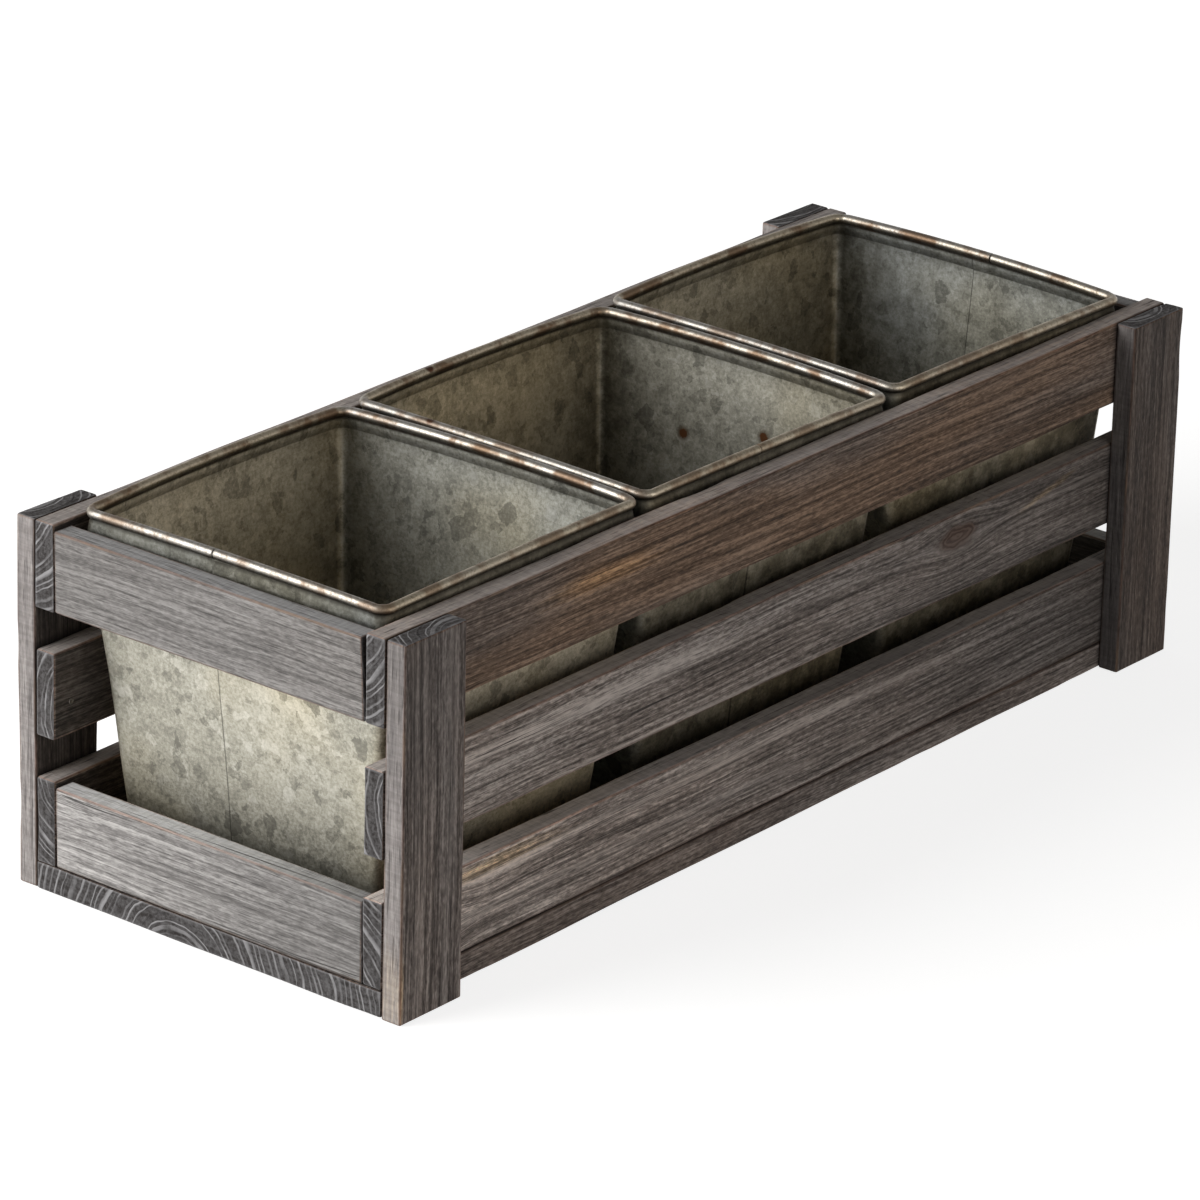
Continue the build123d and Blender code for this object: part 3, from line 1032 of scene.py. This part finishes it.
def bucket_base(name, place, offset, materials):
    """The base plate: a shallow dish with its edge turned down inside the wall."""
    top = base_lift + sheet
    dish_top = top - base_dish
    dish_under = base_lift - base_dish
    outer = sheet + base_clear
    rows = [(outer + sheet, 0.0), (outer, 0.0), (outer, top - base_bend), (outer + bend_cut, top - bend_cut)]
    rows += [(outer + base_bend, top), (flat_inset, top), (slope_inset, top - slope_share * base_dish)]
    rows += [(inset, dish_top) for inset in (dish_inset, middle_inset, hub_inset)]
    under = [(hub_inset, dish_under), (dish_inset, dish_under), (flat_inset, base_lift)]
    under.append((outer + sheet, base_lift - under_bend))
    rings = []
    for inset, z in rows + under:
        half, bow, corner = wall_shape(z)
        inner_corner = max(corner - inset, least_corner)
        loop = bucket_loop(half - inset, bow * (1 - inset / half), inner_corner, with_seam=False)
        rings.append(np.column_stack([loop.points, np.full(len(loop.side), z)]))
    points = np.concatenate(rings)
    ids = closed(np.arange(len(points)).reshape(len(rings), -1))
    last_top = len(rows)
    faces = grid_quads(ids[:last_top]) + grid_quads(ids[last_top:]) + grid_quads(ids[[-1, 0]])
    for ring, hub in ((ids[last_top - 1], len(points)), (ids[last_top], len(points) + 1)):
        faces += [[a, b, hub] for a, b in zip(ring[:-1].tolist(), ring[1:].tolist())]
    points = np.vstack([points, (0, 0, dish_top), (0, 0, dish_under)])
    attributes = {
        "sheet": points + offset,
        "stain": nearest_stain(points, None),
        # Painted shade over the whole base
        "grime_and_shade": np.full(len(points), foot_shade),
    }
    return make_piece(name, placed(points, place), faces, materials, attributes=attributes)


def rim_wire(name, place, material):
    """The wire inside the roll, with its dip towards the corners."""
    half, bow, corner = wall_shape(wall_top)
    loop = bucket_loop(half - roll_inset, bow, corner - roll_inset)
    middle = np.column_stack([loop.points, roll_z - rim_dip * loop.share**2])
    rings = []
    for count in range(wire_sides):
        a = 2 * math.pi * count / wire_sides
        spokes = np.column_stack([loop.normals * math.cos(a), np.full(len(middle), math.sin(a))])
        rings.append(middle + wire_r * spokes)
    points = np.concatenate(rings)
    ids = closed(np.arange(len(points)).reshape(wire_sides, -1))
    quads = grid_quads(np.vstack([ids, ids[:1]]))
    return make_piece(name, placed(points, place), quads, [material])


def brad_shapes(node):
    """Each brad of a CAD group, as the middle of its head's top, the way it is driven and its length."""
    welded = bmesh.new()
    welded.from_mesh(frame["nodes"][node].data)
    bmesh.ops.remove_doubles(welded, verts=welded.verts, dist=speck_r)
    for first in welded.verts:
        if first.tag:
            continue
        first.tag = True
        grown = [first]
        for vert in grown:
            for edge in vert.link_edges:
                other = edge.other_vert(vert)
                if not other.tag:
                    other.tag = True
                    grown.append(other)
        points = np.array([vert.co for vert in grown])
        low, high = points.min(axis=0), points.max(axis=0)
        axis = int(np.argmax(high - low))
        middle = (low + high) / 2
        spread = np.linalg.norm(np.delete(points - middle, axis, 1), axis=1)
        head_high = points[spread.argmax(), axis] > middle[axis]
        way = np.zeros(3)
        way[axis] = -1 if head_high else 1
        middle[axis] = high[axis] if head_high else low[axis]
        yield middle, way, (high - low)[axis]
    welded.free()


def brads(node, material):
    """The brads of a CAD group, with dished heads and tapered points."""
    points = []
    faces = []
    for top, way, length in brad_shapes(node):
        end = length + head_lift
        profile = [(radius * MM, depth * MM) for radius, depth in head_top + head_side]
        profile += [(shank_r, end - taper_length), (tip_r, end - tip_length), (0.0, end)]
        side = np.array([way[1], way[2], way[0]])
        other = np.cross(way, side)
        ids = len(points) + np.arange(len(profile) * brad_sides).reshape(len(profile), brad_sides)
        for radius, depth in profile:
            for count in range(brad_sides):
                a = 2 * math.pi * count / brad_sides
                spoke = side * math.cos(a) + other * math.sin(a)
                points.append(top + way * (depth - head_lift) + spoke * max(radius, speck_r))
        faces += grid_quads(closed(ids)) + [ids[0].tolist(), ids[-1].tolist()]
    return make_piece(node + "_steel", np.array(points), faces, [material])


def seen_rays(n):
    """1 for rays from the camera and for those that metal reflects, otherwise 0."""
    rays = n.add("LightPath").node.outputs
    return n.math("MAXIMUM", rays["Is Camera Ray"], rays["Is Glossy Ray"])


def make_world():
    """A white background, and soft light from behind the part."""
    world = bpy.data.worlds.new("studio")
    scene.world = world
    n = Nodes(world)
    way = n.add("TexCoord", out="Generated")
    behind = n.vector("DOT_PRODUCT", way, ambient_way, out="Value")
    glow = n.span(behind, *ambient_span, *ambient_strength)
    soft = n.add("Background", {"Color": ambient_tint, "Strength": glow})
    overhead = n.span(n.split(way)[2], *overhead_span, *overhead_strength)
    seen = n.add("Background", {"Color": white, "Strength": overhead})
    n.add("OutputWorld", {"Surface": n.add("MixShader", {0: seen_rays(n), 1: soft, 2: seen})})


def make_floor():
    """A pale floor that keeps the part's shadow."""
    near, far, z = -floor_half, floor_half, -floor_drop
    corners = np.array([(near, near, z), (far, near, z), (far, far, z), (near, far, z)])
    material = bpy.data.materials.new("floor")
    n = Nodes(material)
    grey = n.add("BsdfDiffuse", {"Color": floor_grey})
    gap = n.length(n.add("NewGeometry", out="Position"))
    glow = n.span(gap, *floor_span, *floor_glow)
    lit = n.add("AddShader", {0: grey, 1: n.add("Emission", {"Color": white, "Strength": glow})})
    n.add("OutputMaterial", {"Surface": n.add("MixShader", {0: seen_rays(n), 1: grey, 2: lit})})
    make_piece("floor", corners, [[0, 1, 2, 3]], [material])


def aimed(name, data, place, aim, roll=0.0):
    """A lamp or camera at one place that looks at another."""
    thing = bpy.data.objects.new(name, data)
    look = (aim - place).to_track_quat("-Z", "Y")
    thing.location = place
    thing.rotation_mode = "QUATERNION"
    thing.rotation_quaternion = look @ Quaternion((0, 0, 1), roll)
    scene.collection.objects.link(thing)
    return thing


# Stage
scene.view_settings.view_transform = "Standard"
make_world()
make_floor()
for name, (place, width, watts, colour) in lamps.items():
    lamp = bpy.data.lights.new(name, "AREA")
    lamp.shape = "DISK"
    lamp.size = width
    lamp.energy = watts
    lamp.color = colour
    aimed(name, lamp, Vector(place), lamp_aim)
camera = bpy.data.cameras.new("camera")
camera.lens = camera_lens
scene.camera = aimed("camera", camera, camera_place, camera_aim, camera_roll)

# Boards of the crate
woods = {}
for slot, colours in wood_looks.items():
    woods[slot] = [long_grain(slot, *colours), end_grain(slot + "_ends")]
slots = {row["node"]: row["material_slot"] for row in frame["record"]["subparts"]}
board_slots = {node: slot for node, slot in slots.items() if slot in wood_looks}
for node, slot in board_slots.items():
    others = [other for other in board_slots if other != node]
    piece = board(node, others, woods[slot])
    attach(piece, "crate")
    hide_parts(node)

# Buckets
zinc = galvanised("galvanised_sheet", *zinc_colours)
rim = rolled_rim("rolled_rim", *rim_colours)
steel = bright_steel("rim_wire_steel", wire_colour)
for index, (name, (seam_turn, askew, age_and_light_falloff, chill)) in enumerate(buckets.items()):
    low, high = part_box(f"bucket_{name}_base")
    turn = math.radians(seam_turn + askew)
    stand = Matrix.Translation(((low.x + high.x) / 2, (low.y + high.y) / 2, foot))
    place = stand @ Matrix.Rotation(turn, 4, "Z")
    offset = pattern_shift * index
    stains = rust_spots.get(name)
    wall = bucket_wall(f"bucket_{name}_wall_sheet", place, offset, age_and_light_falloff, chill, stains, [zinc, rim])
    pieces = {
        "wall": (wall, "galvanised_sheet"),
        "base": (bucket_base(f"bucket_{name}_base_sheet", place, offset, [zinc]), "galvanised_sheet"),
        "rim_wire": (rim_wire(f"bucket_{name}_rim_wire_steel", place, steel), "rim_wire_steel"),
    }
    for part, (piece, slot) in pieces.items():
        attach(piece, f"bucket_{name}")
        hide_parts(f"bucket_{name}_{part}")

# Brads
brad_steel = bright_steel("brad_steel", brad_colour)
for node in ("post_brads", "end_brads", "bottom_brads"):
    piece = brads(node, brad_steel)
    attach(piece, "crate")
    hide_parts(node)
